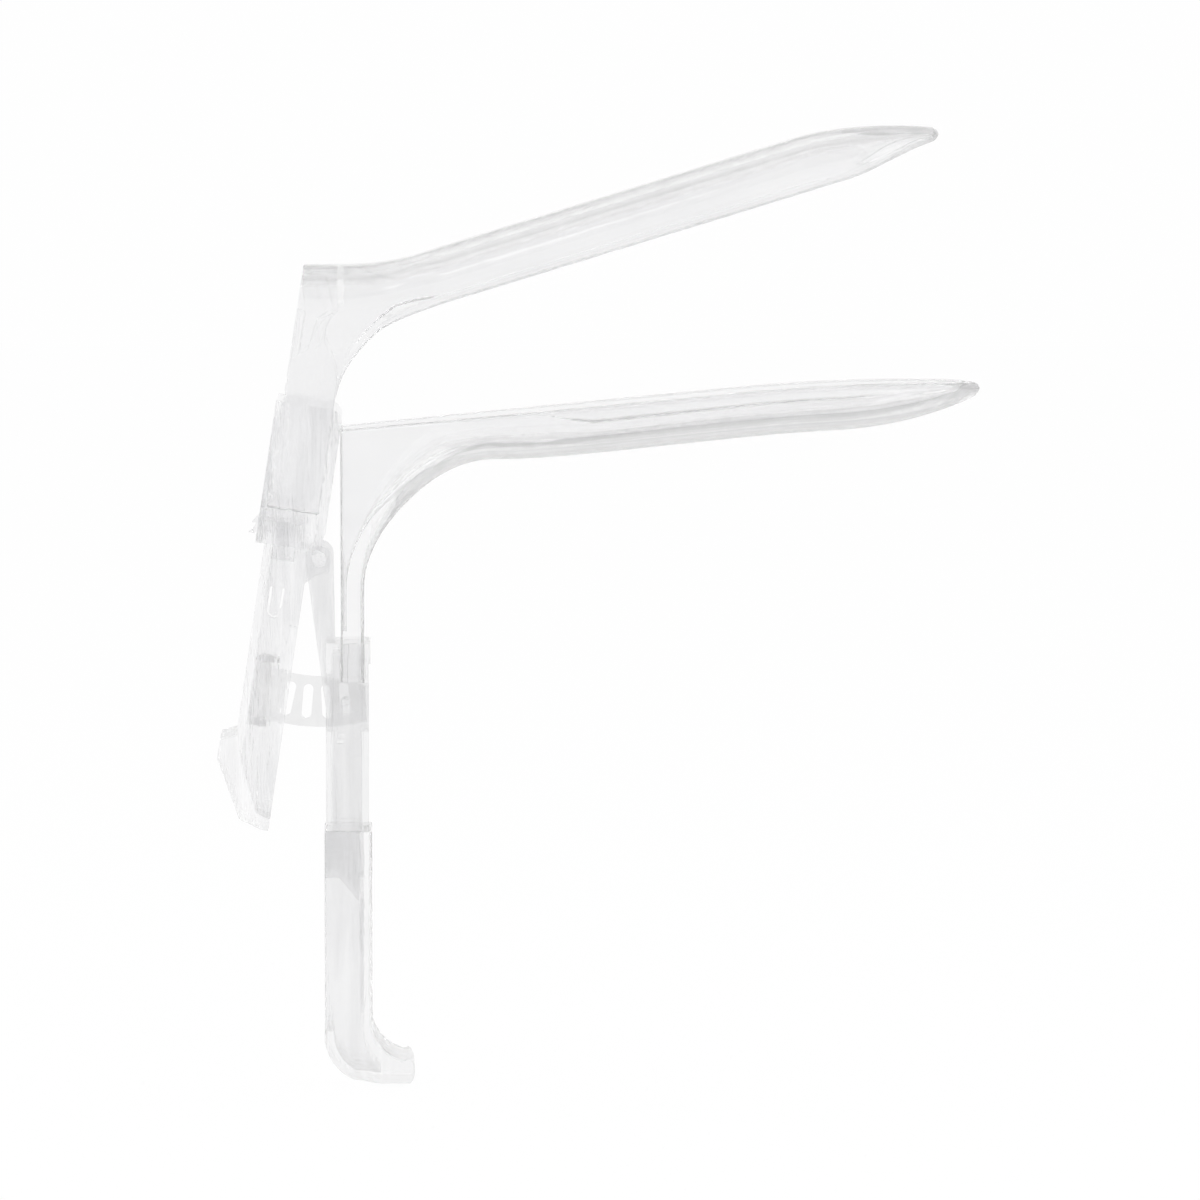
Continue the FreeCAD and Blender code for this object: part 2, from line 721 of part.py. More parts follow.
def grip_shell():
    half = grip_width / 2
    front = grip_depth / 2 - grip_wall
    rear = -grip_depth / 2
    body = plate(grip_outline(), -half, half)
    front_edges = [edge for edge in body.Edges
                   if edge.BoundBox.ZLength > grip_height / 2 and edge.BoundBox.XMin > 0]
    body = body.makeFillet(grip_round, front_edges)
    # An upright post with two round rear edges gives the back of the grip its shape.
    upright = block(rear, 2 * toe_reach, -half, half, -past, grip_height)
    rear_edges = [edge for edge in upright.Edges
                  if edge.BoundBox.ZLength > grip_height and edge.BoundBox.XMax < 0]
    body = body.common(upright.makeFillet(grip_round, rear_edges))
    # The hollow is open at the back and at the top. Its foot follows the heel and the toe.
    open_top = [flat(front, grip_height + past), flat(rear - past, grip_height + past)]
    heel = [flat(rear + grip_wall, heel_height),
            flat(rear + grip_wall + heel_bulge - overlap, heel_height * corner_share + past),
            flat(rear + heel_reach + overlap, heel_lift + grip_wall)]
    sole = [flat(sole_start, foot_floor), flat(front + foot_round, foot_rise),
            flat(front, heel_height + grip_wall)]
    corner = flat(rear - past, heel_height)
    hollow = plate([line(open_top[1], corner), line(corner, heel[0]), arc(*heel),
                    line(heel[2], sole[0]), arc(*sole), line(sole[2], open_top[0]),
                    line(*open_top)], -half + grip_wall, half - grip_wall)
    rail = block(front - lamp_rail, front + overlap, lamp_half, lamp_half + lamp_rail, rail_low,
                 grip_height - plug_length - tongue_length)
    return body.cut(hollow).fuse(pair(rail)).removeSplitter()


def export(name, shape):
    shape.translate(Vector(-toe_middle, 0, 0))
    solids = shape.Solids
    if len(solids) == 1:
        shape = solids[0]
    print(name, "solids", len(solids), "valid", shape.isValid(), "volume", round(shape.Volume, 1),
          "box", [round(value, 2) for value in (shape.BoundBox.XMin, shape.BoundBox.XMax,
                                                shape.BoundBox.YMin, shape.BoundBox.YMax,
                                                shape.BoundBox.ZMin, shape.BoundBox.ZMax)])
    shape.exportStep("parts/" + name + ".step")


export("lower_blade", lower_blade())
export("upper_blade", upper_blade())
export("yoke_frame", yoke_frame())
export("height_catches", height_catches())
export("thumb_lever", thumb_lever())
export("ratchet_strap", ratchet_strap())
export("handle_body", handle_body())
export("grip_shell", grip_shell())
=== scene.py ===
import json
import math

import bmesh
import bpy
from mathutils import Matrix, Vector


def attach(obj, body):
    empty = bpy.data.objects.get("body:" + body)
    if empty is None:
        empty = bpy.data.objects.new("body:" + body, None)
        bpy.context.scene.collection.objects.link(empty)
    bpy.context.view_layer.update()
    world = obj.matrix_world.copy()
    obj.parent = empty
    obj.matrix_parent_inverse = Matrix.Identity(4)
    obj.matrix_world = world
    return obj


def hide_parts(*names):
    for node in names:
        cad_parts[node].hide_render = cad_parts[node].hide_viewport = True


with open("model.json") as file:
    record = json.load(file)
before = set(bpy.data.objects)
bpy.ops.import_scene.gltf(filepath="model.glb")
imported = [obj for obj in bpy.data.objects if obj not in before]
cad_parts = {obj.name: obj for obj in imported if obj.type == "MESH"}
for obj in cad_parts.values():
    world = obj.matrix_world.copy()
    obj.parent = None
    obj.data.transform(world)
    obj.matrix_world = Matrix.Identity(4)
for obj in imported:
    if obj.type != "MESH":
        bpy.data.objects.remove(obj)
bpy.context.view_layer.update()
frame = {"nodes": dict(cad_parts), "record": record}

MM = 0.001

# The photograph: a side view from a little behind and a little above, through a long lens
PHOTO_AZIMUTH = math.radians(-2.0)
PHOTO_ELEVATION = math.radians(4.0)
LENS = 200.0
SENSOR = 36.0
VIEW_WIDTH = 0.2076
NEAREST_SEEN = 0.05
FARTHEST_SEEN = 20.0
AIM = Vector((0.0355, 0.0, 0.0829))

# Levels of the light: what the room gives, what the camera sees of floor and backdrop, and
# what shows by reflection and through the plastic, level with the object and overhead
WORLD_LEVEL = 0.9
FLOOR_COLOUR = (0.93, 0.93, 0.935, 1.0)
FLOOR_LEVEL = 1.0
FLOOR_OWN_LIGHT = 0.95
BACKDROP_LEVEL = 0.993
THROUGH_LEVEL = 0.97
THROUGH_TOP = 0.88
# How high up the room, as a share of straight up, the change to the overhead level runs
OVERHEAD_FADE = (0.22, 0.6)
# The room's darker corners: how much darker, and where they fade in. On the floor that goes by
# the squared distance from the middle, on the walls by the squared level part of the direction.
STRIP_DEPTH = 0.45
FLOOR_STRIP_FADE = (0.1, 0.6)
WALL_STRIP_FADE = (0.6, 0.92)
# The floor: half its side, and how far it lies below the object
FLOOR_HALF = 4.0
FLOOR_BELOW = 0.0005
BLACK = (0, 0, 0, 1)
WHITE = (1, 1, 1, 1)

# The clear plastic: how it bends light, how much of its tint comes from the streaks and how
# much from wide patches, its specks, and its trace of blue
PLASTIC_IOR = 1.49
STREAK_SHARE = 0.75
SPECK_HEIGHT = 0.03
LIGHT_BLUE = 1.003
DARK_BLUE = 1.006

# Sizes of the blades in millimetres, with X zero at the middle of the handle. Pairs are X, Z.
HANDLE_X = -8.1
PIVOT = (-4.84, 90.5)
LEAN = math.radians(8.5)
BLADE_WIDTH = 27.0
BLADE_ROUND = 8.0
# Seen from above, each blade is drawn in over the last part of its length
DRAWN_IN_FROM = 0.62
LEAST_DRAWN = 0.05
ROUND_SHARE = 0.36

# The lower blade: wall, floor, rim, throat and the stem that goes down into the handle
LOWER_WALL = 1.8
LOWER_FLOOR = 3.0
LOWER_REAR_WIDTH = 24.0
LOWER_TIP = (109.2, 120.6)
RIM_REAR = (-1.2, 112.8)
RIM_SLOPE = math.tan(math.radians(5.4))
RIM_BEND_FROM = 0.62
CHANNEL_DEPTH = 7.9
THROAT_CENTRE = (25.3, 85.0)
THROAT_RADIUS = 22.5
THROAT_FLAT = 1.1
THROAT_RUN_OUT = 14.0
STEM_FRONT = 2.8
STEM_WIDTH = 13.4
STEM_ROUND = 1.5
STEM_END = 69.3
STEM_BLOCK = 8.7

# The upper blade: crown and rim, then its legs and rails, on the lever's own axes
UPPER_WALL = 1.6
UPPER_TOP = 140.9
UPPER_TIP = (101.9, 164.4)
UPPER_SLOPE = math.tan(math.radians(17.0))
UPPER_DROP = 9.2 / math.cos(math.radians(17.0))
CROWN_FLAT_END = -0.5
CROWN_BEND_END = 16.0
CROWN_BEND_SHARE = 1.2
LEG_REAR = -10.0
LEG_FRONT = -1.3
LEG_END = 8.0
LEG_OUTER = 14.1
LEG_CORNER_ABOVE = 1.5
GUIDE_TOP = 26.2
# From the legs' front edge to the rim, as shares of the way forwards and up, with how far the
# curve runs on past the rim's start and how steeply it begins
LEG_SWEEP = ((0.1, 0.31), (0.3, 0.6), (0.52, 0.79))
SWEEP_RUN_ON = 12
SWEEP_LEAD_IN = 0.4
RAIL_OUTER = 16.0
RAIL_FRONT = -1.45
# The rail's head above the guides, as steps back from its front and ahead of its rear
RAIL_HEAD_FRONT = ((0.0, 4.6), (0.45, 6.2), (1.1, 7.9), (2.0, 9.4), (2.9, 10.9), (3.25, 12.1),
                   (3.2, 13.2), (2.6, 15.1), (1.5, 16.7))
RAIL_HEAD_REAR = ((3.6, 14.5), (2.8, 9.3), (0.0, 7.4))
RAIL_JOIN = 0.4
# The narrow band on each leg's rear edge: how far it stands out, how wide, where it starts
# above the guides, and where it ends in front and behind
BAND_PROUD = 0.5
BAND_WIDTH = 1.4
BAND_FROM = 6.0
BAND_TO = (14.9, 15.4)
EDGE_ROUND = 0.15
# The web across the crown, between the legs: where it starts and ends, how deep it is, how far
# it sits inside the crown, and its edge
WEB_REAR = -1.6
WEB_FRONT = -0.5
WEB_DEPTH = 6.8
WEB_INSIDE = 0.5
WEB_EDGE = 0.4
# The rack's notches in the legs' rear edges: how many, the first one's place, their pitch and
# depth, half the width of each, and how far behind the legs their sides start
NOTCHES = 9
NOTCH_FROM = 10.0
NOTCH_PITCH = 2.5
NOTCH_DEPTH = 0.6
NOTCH_HALF = 0.7
NOTCH_CLEAR = 0.02
# What cuts them: from how low to how high, how far behind the legs, and half its width
RACK_LOW = 8.0
RACK_HIGH = 32.0
RACK_BEHIND = 1.0
RACK_HALF = 20.0

# The tips: where each line starts to turn into the end, and how strongly
LOWER_FLOOR_TURN = (0.76, 2.2)
CROWN_TURN = (0.76, 1.7)
UPPER_RIM_TURN = (0.84, 2)
# The tips' round ends: how deep, how far back the rounding reaches, the least depth left and
# how much of the width goes, with the places of the last cross-sections as shares of the reach
NOSE_DEPTH = 2.1
NOSE_ROUND = 1.3
NOSE_LEAST = 0.22
NOSE_WIDTH_LOSS = 0.55
NOSE_PLACES = (0.7, 0.5, 0.34, 0.2, 0.1, 0.04, 0.0)
# The rims' thick edge: how much thicker, how deep, the ramp down to the wall, and where it
# starts on the upper blade and over what length it grows
RIM_EXTRA = 0.9
RIM_DEPTH = 2.4
RIM_RAMP = 0.65
RIM_STARTS = 4.0
RIM_GROWS_OVER = 14
# The most that each of them takes of the hollow's depth, or of the straight side inside
EXTRA_SHARE = 0.2
STEP_SHARE = 0.6
RAMP_SHARE = 0.4
# The inside corner of the lower blade, and the least corner of any section
INNER_ROUND = 2.6
LEAST_CORNER = 0.5
# How quickly the blades reach their full width, and the lower one its full rim and inside corner
WIDENS = 4
THICKENS = 5
# How much of the change from the legs' width to the blade's is made at the crown's bend
NARROWED_AT_BEND = 0.6
# How far a joined piece sits inside the face that it would else share
SINK = 0.01

# How finely the blades are drawn
FLAT_STEPS = 8
ROUND_STEPS = 12
SIDE_STEPS = 10
RAMP_STEPS = 4
BLADE_STEPS = 90
THROAT_STEPS = 24
LEG_STEPS = 10
SWEEP_STEPS = 12
JOINED_WITHIN = 2e-6
# How the place where a line meets the crown is closed in on
FIRST_GUESS = 50.0
GUESSES = 6
SHARP_FROM = math.radians(35)
BEVELLED_FROM = math.radians(40)


class Wire:
    """An output of a shader node, for use in ordinary arithmetic."""

    def __init__(self, tree, socket):
        self.tree = tree
        self.socket = socket

    def worked(self, operation, first, second):
        return self.tree.node("ShaderNodeMath", {"operation": operation}, {0: first, 1: second})

    def __add__(self, other):
        return self.worked("ADD", self, other)

    def __sub__(self, other):
        return self.worked("SUBTRACT", self, other)

    def __rsub__(self, other):
        return self.worked("SUBTRACT", other, self)

    def __mul__(self, other):
        return self.worked("MULTIPLY", self, other)

    def __truediv__(self, other):
        return self.worked("DIVIDE", self, other)

    __radd__ = __add__
    __rmul__ = __mul__


class Tree:
    """The node tree of one material or of the world."""

    def __init__(self, owner):
        owner.use_nodes = True
        self.nodes = owner.node_tree.nodes
        self.links = owner.node_tree.links
        self.nodes.clear()

    def node(self, kind, settings=None, sockets=None, output=0):
        made = self.nodes.new(kind)
        for name, value in (settings or {}).items():
            setattr(made, name, value)
        for name, value in (sockets or {}).items():
            if isinstance(value, Wire):
                self.links.new(value.socket, made.inputs[name])
            else:
                made.inputs[name].default_value = value
        return Wire(self, made.outputs[output]) if made.outputs else None


def clear_plastic(name, light, dark, roughness, haze, grain, ripple_depth, plain_share):
    """Clear moulded plastic, with flow streaks in its tint and surface.

    light and dark are its tints between and in the streaks, haze is how much the roughness
    varies, and grain gives how fine the streaks are along X, Y and Z. Through plain_share
    of the surface light goes straight, without bending.
    """
    material = bpy.data.materials.new(name)
    tree = Tree(material)
    place = tree.node("ShaderNodeTexCoord", output="Object")
    drawn = tree.node("ShaderNodeMapping", None, {"Vector": place, "Scale": grain})
    streak = tree.node("ShaderNodeTexNoise", None,
                       {"Vector": drawn, "Scale": 1.0, "Detail": 3.0, "Roughness": 0.6,
                        "Distortion": 0.6})
    speck = tree.node("ShaderNodeTexNoise", None,
                      {"Vector": place, "Scale": 900.0, "Detail": 2.0, "Roughness": 0.6})
    patch = tree.node("ShaderNodeTexNoise", None,
                      {"Vector": place, "Scale": 70.0, "Detail": 1.0, "Roughness": 0.5})
    shade_mask = tree.node("ShaderNodeMapRange", {"interpolation_type": "SMOOTHSTEP"},
                           {"Value": streak * STREAK_SHARE + patch * (1 - STREAK_SHARE),
                            "From Min": 0.38, "From Max": 0.62})
    colour = tree.node("ShaderNodeMix", {"data_type": "RGBA"},
                       {0: shade_mask, 6: (light, light, light * LIGHT_BLUE, 1.0),
                        7: (dark, dark, dark * DARK_BLUE, 1.0)}, output=2)
    bump = tree.node("ShaderNodeBump", None,
                     {"Height": streak + speck * SPECK_HEIGHT, "Strength": ripple_depth, "Distance": MM})
    glass = tree.node("ShaderNodeBsdfPrincipled", None,
                      {"Base Color": colour, "Roughness": speck * haze + roughness, "IOR": PLASTIC_IOR,
                       "Transmission Weight": 1.0, "Normal": bump})
    straight = tree.node("ShaderNodeBsdfTransparent", None, {"Color": (light, light, light, 1.0)})
    shaded = tree.node("ShaderNodeLightPath", output="Is Shadow Ray")
    share = tree.node("ShaderNodeMath", {"operation": "MAXIMUM"}, {0: shaded, 1: plain_share})
    surface = tree.node("ShaderNodeMixShader", None, {0: share, 1: glass, 2: straight})
    tree.node("ShaderNodeOutputMaterial", None, {"Surface": surface})
    return material


def leaned(v, u):
    """A place on the lever's own axes, across and along it, as X and Z."""
    return (PIVOT[0] + v * math.cos(LEAN) + u * math.sin(LEAN),
            PIVOT[1] - v * math.sin(LEAN) + u * math.cos(LEAN))


def past_share(share, start):
    """How far a share of the length is past a start, from 0 there to 1 at the tip."""
    return max(0.0, (share - start) / (1 - start))


def drawn_in(width, share):
    """A blade's width and corner, drawn in towards its tip."""
    width *= math.sqrt(max(LEAST_DRAWN, 1 - past_share(share, DRAWN_IN_FROM) ** 3))
    return width, min(BLADE_ROUND, width * ROUND_SHARE)


def lower_rim(x):
    """Height of the lower blade's rim: straight, then flattening out to the tip."""
    bend = LOWER_TIP[0] * RIM_BEND_FROM
    straight = RIM_REAR[1] + (min(x, bend) - RIM_REAR[0]) * RIM_SLOPE
    if x <= bend:
        return straight
    share = (x - bend) / (LOWER_TIP[0] - bend)
    reach = (LOWER_TIP[0] - bend) * RIM_SLOPE
    eased = straight + reach * (share - share ** 2 / 2)
    return eased + share ** 2 * (LOWER_TIP[1] - straight - reach / 2)


def lower_floor(x):
    """Height of the lower blade's underside, from the throat to the tip."""
    level = THROAT_CENTRE[1] + THROAT_RADIUS
    blend = 1 - math.exp((THROAT_CENTRE[0] - x) / THROAT_RUN_OUT)
    height = level + (lower_rim(x) - CHANNEL_DEPTH - level) * blend
    start, power = LOWER_FLOOR_TURN
    nose = past_share(x / LOWER_TIP[0], start)
    return height + (lower_rim(x) - height - NOSE_DEPTH) * nose ** power


def crown(x):
    """Height of the upper blade's back: flat, a bend, straight, then turned down to the tip."""
    bend = CROWN_BEND_END - CROWN_FLAT_END
    if x <= CROWN_FLAT_END:
        return UPPER_TOP
    if x <= CROWN_BEND_END:
        return UPPER_TOP + CROWN_BEND_SHARE * UPPER_SLOPE * (x - CROWN_FLAT_END) ** 2 / (2 * bend)
    start = UPPER_TOP + CROWN_BEND_SHARE / 2 * UPPER_SLOPE * bend
    height = start + UPPER_SLOPE * (x - CROWN_BEND_END)
    straight_tip = start + UPPER_SLOPE * (UPPER_TIP[0] - CROWN_BEND_END)
    turn, power = CROWN_TURN
    return height - (straight_tip - UPPER_TIP[1]) * past_share(x / UPPER_TIP[0], turn) ** power


def upper_rim(x):
    """Height of the upper blade's lower edge, ahead of the bend."""
    straight = crown(CROWN_BEND_END) + UPPER_SLOPE * (x - CROWN_BEND_END) - UPPER_DROP
    start, power = UPPER_RIM_TURN
    nose = past_share(x / UPPER_TIP[0], start)
    return straight + (UPPER_TIP[1] - NOSE_DEPTH - straight) * nose ** power


def half_section(width, depth, corner, wall, floor, extra=0.0, inner_corner=None):
    """Half a blade's cross-section, as points across it and up its depth.

    It goes out along the floor, round the corner and up, over the thick round rim, and back
    down inside. Where floor is as much as depth, the section is solid.
    """
    half = width / 2
    hollow = max(depth - floor, 0.0)
    thick = wall + min(extra, hollow * EXTRA_SHARE)
    bead = thick / 2
    outer_rise = min(bead, depth / 2)
    inner_rise = min(bead, hollow)
    top = depth - outer_rise
    swing = math.asin(max(-1.0, min(0.0, (top - corner) / corner)))
    points = [((half - corner) * k / FLAT_STEPS, 0.0) for k in range(FLAT_STEPS)]
    for k in range(ROUND_STEPS + 1):
        turn = -math.pi / 2 + (swing + math.pi / 2) * k / ROUND_STEPS
        points.append((half - corner + corner * math.cos(turn), corner + corner * math.sin(turn)))
    side, rise = points[-1]
    points += [(side, rise + (top - rise) * k / SIDE_STEPS) for k in range(1, SIDE_STEPS)]
    for k in range(ROUND_STEPS + 1):
        turn = math.pi * k / ROUND_STEPS
        outside = 2 * k <= ROUND_STEPS
        lift = outer_rise if outside else inner_rise
        middle = top if outside else depth - inner_rise
        points.append((side - bead + bead * math.cos(turn), middle + lift * math.sin(turn)))
    inside = side - wall
    low = depth - hollow
    soft = min(inner_corner or max(corner - wall, LEAST_CORNER), hollow - inner_rise, inside)
    straight = hollow - inner_rise - soft
    step = min(RIM_DEPTH, straight * STEP_SHARE)
    ramp = min(RIM_RAMP, straight * RAMP_SHARE)
    falls = [step / 2] + [step + ramp * k / RAMP_STEPS for k in range(RAMP_STEPS + 1)]
    falls += [falls[-1] + (straight - falls[-1]) * k / RAMP_STEPS for k in range(1, RAMP_STEPS)]
    for fall in falls:
        blend = min(1.0, max(0.0, (fall - step) / ramp)) if ramp > 0 else 1.0
        blend = blend * blend * (3 - 2 * blend)
        points.append((side - thick + (thick - wall) * blend, depth - inner_rise - fall))
    for k in range(ROUND_STEPS + 1):
        turn = -math.pi / 2 * k / ROUND_STEPS
        points.append((inside - soft + soft * math.cos(turn), low + soft + soft * math.sin(turn)))
    points += [((inside - soft) * (FLAT_STEPS - k) / FLAT_STEPS, low) for k in range(1, FLAT_STEPS + 1)]
    return points


def outline(base, up, *sizes):
    """A whole cross-section set on its base point, with its depth along up."""
    half = half_section(*sizes)
    whole = half + [(-across, rise) for across, rise in half[-2:0:-1]]
    return [((base[0] + HANDLE_X + up[0] * rise) * MM, across * MM, (base[1] + up[1] * rise) * MM)
            for across, rise in whole]


def stem_outlines():
    """The lower blade's stem: solid at its foot, then open to the rear up to the throat."""
    depth = STEM_FRONT - RIM_REAR[0]
    top = STEM_END + STEM_BLOCK
    rows = []
    for k in range(FLAT_STEPS + 1):
        rows.append(outline((STEM_FRONT, STEM_END + STEM_BLOCK * k / FLAT_STEPS), (-1, 0), STEM_WIDTH,
                            depth, STEM_ROUND, LOWER_WALL, depth))
    for k in range(FLAT_STEPS):
        z = top + (THROAT_CENTRE[1] - STEM_END - STEM_BLOCK) * k / FLAT_STEPS
        rows.append(outline((STEM_FRONT, z), (-1, 0), STEM_WIDTH, depth, STEM_ROUND, LOWER_WALL,
                            LOWER_FLOOR))
    return rows


def throat_outlines():
    """The round throat, from the stem's top to the start of the channel."""
    back = THROAT_CENTRE[0] - RIM_REAR[0]
    corner_turn = math.atan2(RIM_REAR[1] - THROAT_CENTRE[1], back)
    turns = [corner_turn * k / THROAT_STEPS for k in range(THROAT_STEPS + 1)]
    turns += [corner_turn + (math.pi / 2 - corner_turn) * k / THROAT_STEPS
              for k in range(1, THROAT_STEPS)]
    rows = []
    for turn in turns:
        away = (-math.cos(turn), math.sin(turn))
        radius = THROAT_RADIUS - THROAT_FLAT * math.sin(2 * turn) ** 2
        if turn <= corner_turn:
            reach = back / math.cos(turn)
        else:
            rise = RIM_REAR[1] + back * RIM_SLOPE - THROAT_CENTRE[1]
            reach = rise / (math.sin(turn) + math.cos(turn) * RIM_SLOPE)
        grow = math.sin(turn) ** 2
        base = (THROAT_CENTRE[0] + away[0] * radius, THROAT_CENTRE[1] + away[1] * radius)
        width = STEM_WIDTH + (LOWER_REAR_WIDTH - STEM_WIDTH) * grow
        corner = STEM_ROUND + (BLADE_ROUND - STEM_ROUND) * grow
        rows.append(outline(base, away, width, reach - radius, corner, LOWER_WALL, LOWER_FLOOR))
    return rows


def channel_outlines():
    """The lower blade's channel, from the throat to the tip."""
    length = LOWER_TIP[0] - THROAT_CENTRE[0]
    rows = []
    for x in [THROAT_CENTRE[0]] + steps_to_tip(THROAT_CENTRE[0], LOWER_TIP[0]):
        share = (x - THROAT_CENTRE[0]) / length
        width = LOWER_REAR_WIDTH + (BLADE_WIDTH - LOWER_REAR_WIDTH) * min(1.0, share * WIDENS)
        width, corner = drawn_in(width, share)
        thick = min(1.0, share * THICKENS)
        inner = BLADE_ROUND - LOWER_WALL + (INNER_ROUND + LOWER_WALL - BLADE_ROUND) * thick
        depth = lower_rim(x) - lower_floor(x)
        rows.append(nose_section((x, lower_floor(x)), (0, 1), width, depth, corner, LOWER_WALL,
                                 LOWER_FLOOR, LOWER_TIP[0] - x, RIM_EXTRA * thick, inner))
    return rows


def steps_to_tip(start, tip):
    """Places along a blade, closer together at its round end."""
    length = tip - start
    along = [start + length * k / BLADE_STEPS for k in range(1, BLADE_STEPS)]
    return along + [tip - NOSE_ROUND * gap for gap in NOSE_PLACES]


def nose_section(base, up, width, depth, corner, wall, floor, gap, extra, inner_corner=None):
    """A cross-section at a gap from the tip, drawn in so that the end is round."""
    share = max(0.0, 1 - gap / NOSE_ROUND)
    round_share = max(NOSE_LEAST, math.sqrt(1 - share ** 2))
    trim = (1 - round_share) * depth / 2
    width *= 1 - (1 - round_share) * NOSE_WIDTH_LOSS
    corner = min(corner, width * ROUND_SHARE)
    base = (base[0] + up[0] * trim, base[1] + up[1] * trim)
    return outline(base, up, width, depth * round_share, corner, wall, floor, extra, inner_corner)


def upper_width(x):
    """The upper blade's width and corner, narrower from the legs to the channel."""
    share = (x - CROWN_BEND_END) / (UPPER_TIP[0] - CROWN_BEND_END)
    rear = 2 * LEG_OUTER
    narrowed = min(1.0, max(0.0, share * WIDENS + NARROWED_AT_BEND))
    return drawn_in(rear + (BLADE_WIDTH - rear) * narrowed, share)


def crown_above(v):
    """Where a line along the lever at v meets the crown."""
    u = FIRST_GUESS
    for _ in range(GUESSES):
        u = (crown(leaned(v, u)[0]) - PIVOT[1] + v * math.sin(LEAN)) / math.cos(LEAN)
    return leaned(v, u)


def swept(knots, count):
    """Points on a smooth curve through all but the first and last knots, count to each stretch."""
    for n in range(1, len(knots) - 2):
        for k in range(1, count + 1):
            t = k / count
            yield [0.5 * (2 * b + (c - a) * t + (2 * a - 5 * b + 4 * c - d) * t ** 2
                          + (3 * b - a - 3 * c + d) * t ** 3)
                   for a, b, c, d in zip(*knots[n - 1:n + 3])]


def leg_sweep(top):
    """Lines from the crown down to the curve that the legs' front edge makes into the rim."""
    start = leaned(LEG_FRONT, GUIDE_TOP + LEG_CORNER_ABOVE)
    end = (CROWN_BEND_END, upper_rim(CROWN_BEND_END))
    knots = [start] + [(start[0] + (end[0] - start[0]) * across, start[1] + (end[1] - start[1]) * rise)
                       for across, rise in LEG_SWEEP] + [end]
    knots.append((end[0] + SWEEP_RUN_ON, upper_rim(end[0] + SWEEP_RUN_ON)))
    before = (start[0] - (knots[1][0] - start[0]) * SWEEP_LEAD_IN, start[1] - (knots[1][1] - start[1]))
    knots.insert(0, before)
    lines = [(top, start)]
    stretches = len(LEG_SWEEP) + 1
    for step, place in enumerate(swept(knots, SWEEP_STEPS)):
        stretch, k = divmod(step, SWEEP_STEPS)
        share = (stretch + (k + 1) / SWEEP_STEPS) / stretches
        x = top[0] + (end[0] - top[0]) * share
        lines.append(((x, crown(x)), place))
    return lines


def upper_outlines():
    """The upper blade's cross-sections, each on a line from the crown to the lower edge."""
    lines = []
    for k in range(LEG_STEPS + 1):
        v = LEG_REAR + (LEG_FRONT - LEG_REAR) * k / LEG_STEPS
        lines.append((crown_above(v), leaned(v, LEG_END)))
    lines += leg_sweep(lines[-1][0])
    for x in steps_to_tip(CROWN_BEND_END, UPPER_TIP[0]):
        lines.append(((x, crown(x)), (x, upper_rim(x))))
    rows = []
    for above, below in lines:
        depth = math.dist(above, below)
        along = ((below[0] - above[0]) / depth, (below[1] - above[1]) / depth)
        width, corner = upper_width(above[0])
        extra = RIM_EXTRA * min(1.0, max(0.0, (above[0] - RIM_STARTS) / RIM_GROWS_OVER))
        rows.append(nose_section(above, along, width, depth, corner, UPPER_WALL, UPPER_WALL,
                                 UPPER_TIP[0] - above[0], extra))
    return rows


def shade(piece):
    piece.data.shade_smooth()
    piece.data.set_sharp_from_angle(angle=SHARP_FROM)


def new_piece(name, mesh):
    piece = bpy.data.objects.new(name, mesh)
    bpy.context.scene.collection.objects.link(piece)
    return piece


def skinned(name, rows):
    """One closed piece stretched over a run of closed cross-sections."""
    count = len(rows[0])
    mesh = bmesh.new()
    points = [[mesh.verts.new(point) for point in row] for row in rows]
    for first, second in zip(points, points[1:]):
        for k in range(count):
            n = (k + 1) % count
            mesh.faces.new((first[k], first[n], second[n], second[k]))
    mesh.faces.new(points[0])
    mesh.faces.new(points[-1][::-1])
    bmesh.ops.remove_doubles(mesh, verts=mesh.verts, dist=JOINED_WITHIN)
    bmesh.ops.dissolve_degenerate(mesh, edges=mesh.edges, dist=JOINED_WITHIN)
    bmesh.ops.recalc_face_normals(mesh, faces=mesh.faces)
    data = bpy.data.meshes.new(name)
    mesh.to_mesh(data)
    mesh.free()
    return new_piece(name, data)


def plate(name, side, low, high):
    """A flat piece with a side outline of (X, Z) points, from Y = low to Y = high."""
    return skinned(name, [[((x + HANDLE_X) * MM, y * MM, z * MM) for x, z in side] for y in (low, high)])


def softened(piece):
    """Rounds a piece's sharp edges."""
    edge = piece.modifiers.new("edge", "BEVEL")
    edge.width = EDGE_ROUND * MM
    edge.segments = 2
    edge.limit_method = "ANGLE"
    edge.angle_limit = BEVELLED_FROM
    settled(piece)
    return piece


def settled(piece):
    """Applies a piece's modifiers."""
    graph = bpy.context.evaluated_depsgraph_get()
    piece.data = bpy.data.meshes.new_from_object(piece.evaluated_get(graph))
    piece.modifiers.clear()


def combined(piece, other, operation):
    """Joins another piece to this one, or cuts it away, and removes the other."""
    cut = piece.modifiers.new("combine", "BOOLEAN")
    cut.operation = operation
    cut.object = other
    cut.solver = "MANIFOLD"
    settled(piece)
    bpy.data.objects.remove(other)


def rail_side():
    """The side outline of the rail that carries a rack in the guides."""
    side = [(LEG_REAR + SINK, LEG_END + SINK), (RAIL_FRONT, LEG_END + SINK)]
    side += [(RAIL_FRONT - back, GUIDE_TOP + up) for back, up in RAIL_HEAD_FRONT]
    side += [(LEG_REAR + max(ahead, SINK), GUIDE_TOP + up) for ahead, up in RAIL_HEAD_REAR]
    return [leaned(v, u) for v, u in side]


def band_side():
    """The side outline of the narrow band above the rail."""
    rear, front = LEG_REAR + 2 * SINK, LEG_REAR + BAND_WIDTH
    return [leaned(v, GUIDE_TOP + u)
            for v, u in ((rear, BAND_FROM), (front, BAND_FROM), (front, BAND_TO[0]), (rear, BAND_TO[1]))]


